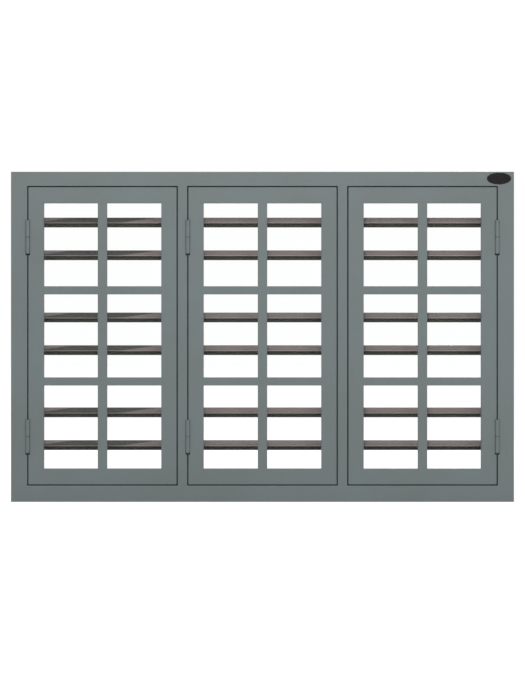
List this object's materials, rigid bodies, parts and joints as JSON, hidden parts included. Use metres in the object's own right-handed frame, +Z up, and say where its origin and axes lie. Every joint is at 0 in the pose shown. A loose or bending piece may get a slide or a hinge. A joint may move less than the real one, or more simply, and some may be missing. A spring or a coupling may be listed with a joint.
{
  "type": "casement window",
  "caption": "Painted steel casement window with glazed side-hung sashes opening outwards from a rebated frame, and a grille of round horizontal tubes behind them.",
  "frame": {"origin": "middle of the sill's underside, half way along the width and through the depth", "axes": "+Z up, +X to the right seen from outside, +Y from outside into the room"},
  "size_m": [1.6, 0.1075, 1.05],
  "materials": {
    "frame_paint": "satin grey powder coat",
    "grille_steel": "polished dark tube",
    "clear_glass": "clear float glass",
    "black_rubber": "matte extruded seal",
    "hardware": "satin black coated steel",
    "pin_steel": "plain steel"
  },
  "bodies": {
    "frame": {"frame_head": "frame_paint", "frame_sill": "frame_paint", "left_jamb": "frame_paint", "right_jamb": "frame_paint", "left_mullion": "frame_paint", "right_mullion": "frame_paint", "grille_bar_1": "grille_steel", "grille_bar_2": "grille_steel", "grille_bar_3": "grille_steel", "grille_bar_4": "grille_steel", "grille_bar_5": "grille_steel", "grille_bar_6": "grille_steel", "left_hinge_frame_leaves": "frame_paint", "middle_hinge_frame_leaves": "frame_paint", "right_hinge_frame_leaves": "frame_paint", "hinge_pins": "pin_steel", "keepers": "hardware", "stay_pegs": "hardware", "weather_seals": "black_rubber"},
    "left_sash": {"left_hinge_stile": "frame_paint", "left_lock_stile": "frame_paint", "left_top_rail": "frame_paint", "left_bottom_rail": "frame_paint", "left_muntin_grid": "frame_paint", "left_glass": "clear_glass", "left_glazing_gasket": "black_rubber", "left_glazing_beads": "frame_paint", "left_hinge_sash_leaves": "frame_paint", "left_handle_base": "hardware", "left_stay_bracket": "hardware"},
    "left_latch": {"left_handle": "hardware"},
    "left_stay": {"left_stay_arm": "hardware"},
    "middle_sash": {"middle_hinge_stile": "frame_paint", "middle_lock_stile": "frame_paint", "middle_top_rail": "frame_paint", "middle_bottom_rail": "frame_paint", "middle_muntin_grid": "frame_paint", "middle_glass": "clear_glass", "middle_glazing_gasket": "black_rubber", "middle_glazing_beads": "frame_paint", "middle_hinge_sash_leaves": "frame_paint", "middle_handle_base": "hardware", "middle_stay_bracket": "hardware"},
    "middle_latch": {"middle_handle": "hardware"},
    "middle_stay": {"middle_stay_arm": "hardware"},
    "right_sash": {"right_hinge_stile": "frame_paint", "right_lock_stile": "frame_paint", "right_top_rail": "frame_paint", "right_bottom_rail": "frame_paint", "right_muntin_grid": "frame_paint", "right_glass": "clear_glass", "right_glazing_gasket": "black_rubber", "right_glazing_beads": "frame_paint", "right_hinge_sash_leaves": "frame_paint", "right_handle_base": "hardware", "right_stay_bracket": "hardware"},
    "right_latch": {"right_handle": "hardware"},
    "right_stay": {"right_stay_arm": "hardware"}
  },
  "joints": [
    {"name": "left_sash_hinge", "type": "hinge", "parent": "frame", "child": "left_sash", "pos_m": [-0.7465, -0.051, 0.525], "axis": [0, 0, -1], "range_deg": [0, 90]},
    {"name": "left_handle_turn", "type": "hinge", "parent": "left_sash", "child": "left_latch", "pos_m": [-0.2995, -0.01, 0.425], "axis": [0, 1, 0], "range_deg": [0, 90]},
    {"name": "left_stay_swing", "type": "hinge", "parent": "left_sash", "child": "left_stay", "pos_m": [-0.62813, -0.007, 0.084], "axis": [0, 0, 1], "range_deg": [0, 126.9]},
    {"name": "middle_sash_hinge", "type": "hinge", "parent": "frame", "child": "middle_sash", "pos_m": [-0.2375, -0.051, 0.525], "axis": [0, 0, -1], "range_deg": [0, 90]},
    {"name": "middle_handle_turn", "type": "hinge", "parent": "middle_sash", "child": "middle_latch", "pos_m": [0.2095, -0.01, 0.425], "axis": [0, 1, 0], "range_deg": [0, 90]},
    {"name": "middle_stay_swing", "type": "hinge", "parent": "middle_sash", "child": "middle_stay", "pos_m": [-0.11912, -0.007, 0.084], "axis": [0, 0, 1], "range_deg": [0, 126.9]},
    {"name": "right_sash_hinge", "type": "hinge", "parent": "frame", "child": "right_sash", "pos_m": [0.7465, -0.051, 0.525], "axis": [0, 0, 1], "range_deg": [0, 90]},
    {"name": "right_handle_turn", "type": "hinge", "parent": "right_sash", "child": "right_latch", "pos_m": [0.2995, -0.01, 0.425], "axis": [0, -1, 0], "range_deg": [0, 90]},
    {"name": "right_stay_swing", "type": "hinge", "parent": "right_sash", "child": "right_stay", "pos_m": [0.62813, -0.007, 0.084], "axis": [0, 0, -1], "range_deg": [0, 126.9]}
  ]
}
